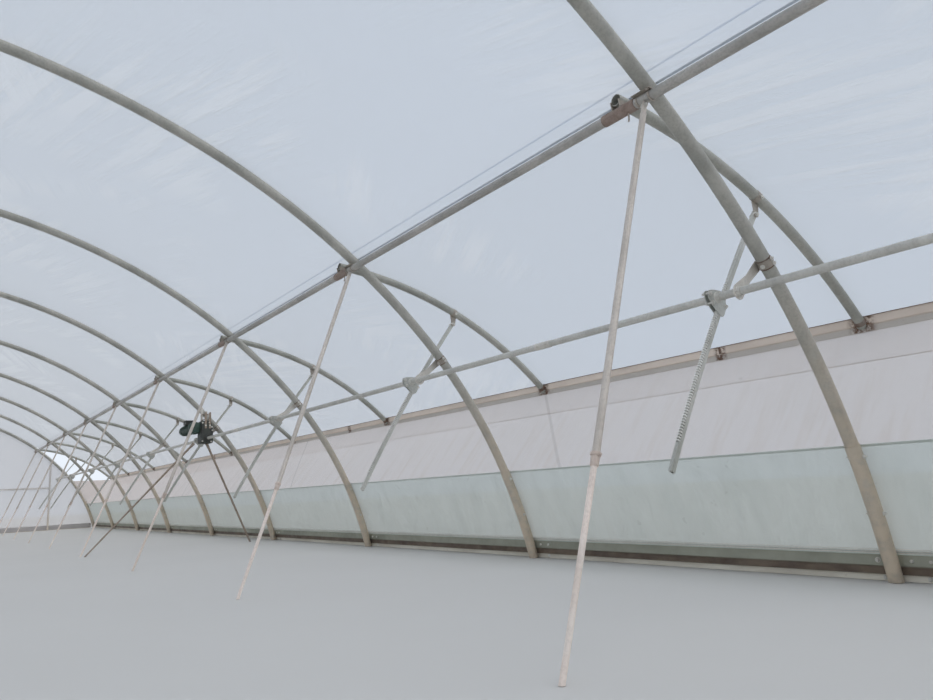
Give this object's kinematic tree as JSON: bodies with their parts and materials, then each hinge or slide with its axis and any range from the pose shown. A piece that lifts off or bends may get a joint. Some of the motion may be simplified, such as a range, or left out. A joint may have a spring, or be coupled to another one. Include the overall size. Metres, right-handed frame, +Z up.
{
  "type": "polytunnel greenhouse",
  "caption": "Long polytunnel greenhouse: arched tube hoops under film, with rack-driven side vents held open, net below them, leaning props and end walls with open doorways.",
  "frame": {"origin": "on the ground at the middle of the tunnel, bottom centre of its box", "axes": "+Z up, +Y along the tunnel, +X across it towards one of its two like sides"},
  "size_m": [9.162, 22.6158, 3.0155],
  "materials": {
    "weathered_steel": "weathered galvanised, satin",
    "base_steel": "galvanised, dusty",
    "plate_steel": "galvanised, rust stained",
    "shaft_steel": "galvanised, satin",
    "film_lock": "dull aluminium",
    "gable_board": "dusty",
    "gable_film": "translucent film",
    "gable_steel": "galvanised, dusty",
    "gearbox_black": "semi-gloss paint",
    "purlin_steel": "galvanised, satin",
    "rusted_steel": "rusted",
    "clamp_steel": "galvanised, rusting",
    "net": "fine white net",
    "brace_steel": "rusted tube",
    "motor_green": "semi-gloss paint",
    "housing_steel": "galvanised, dusty",
    "rack_steel": "galvanised",
    "concrete_grey": "pale fibre cement",
    "collar_steel": "galvanised, dirty",
    "pale_steel": "pale, dusty",
    "prop_steel": "galvanised, weathered",
    "roof_film": "translucent greenhouse film",
    "skirt_film": "translucent film, dirty",
    "vent_rail": "dusty, rust stained",
    "vent_film": "translucent greenhouse film",
    "rib_steel": "weathered galvanised, satin"
  },
  "bodies": {
    "root": {"base_rails": "base_steel", "bearing_plates": "plate_steel", "drive_shafts": "shaft_steel", "film_locks": "film_lock", "gable_boards": "gable_board", "gable_film_back": "gable_film", "gable_film_front": "gable_film", "gable_posts": "gable_steel", "gable_rails": "gable_steel", "gearboxes": "gearbox_black", "ground_sleeves": "weathered_steel", "hinge_purlins": "purlin_steel", "hinge_sleeves": "rusted_steel", "hoop_01": "weathered_steel", "hoop_02": "weathered_steel", "hoop_03": "weathered_steel", "hoop_04": "weathered_steel", "hoop_05": "weathered_steel", "hoop_06": "weathered_steel", "hoop_07": "weathered_steel", "hoop_08": "weathered_steel", "hoop_09": "weathered_steel", "hoop_10": "weathered_steel", "hoop_clamps": "clamp_steel", "insect_nets": "net", "motor_braces": "brace_steel", "motor_hangers": "plate_steel", "motors": "motor_green", "pinion_housings": "housing_steel", "pinions": "rack_steel", "plinths": "concrete_grey", "prop_collars": "collar_steel", "prop_lower_tubes": "pale_steel", "prop_upper_tubes": "prop_steel", "rack_lugs": "plate_steel", "racks": "rack_steel", "roof_film": "roof_film", "side_skirts": "skirt_film", "vent_edge_rails": "vent_rail", "vent_films": "vent_film", "vent_hems": "vent_film", "vent_ribs": "rib_steel"}
  },
  "joints": []
}
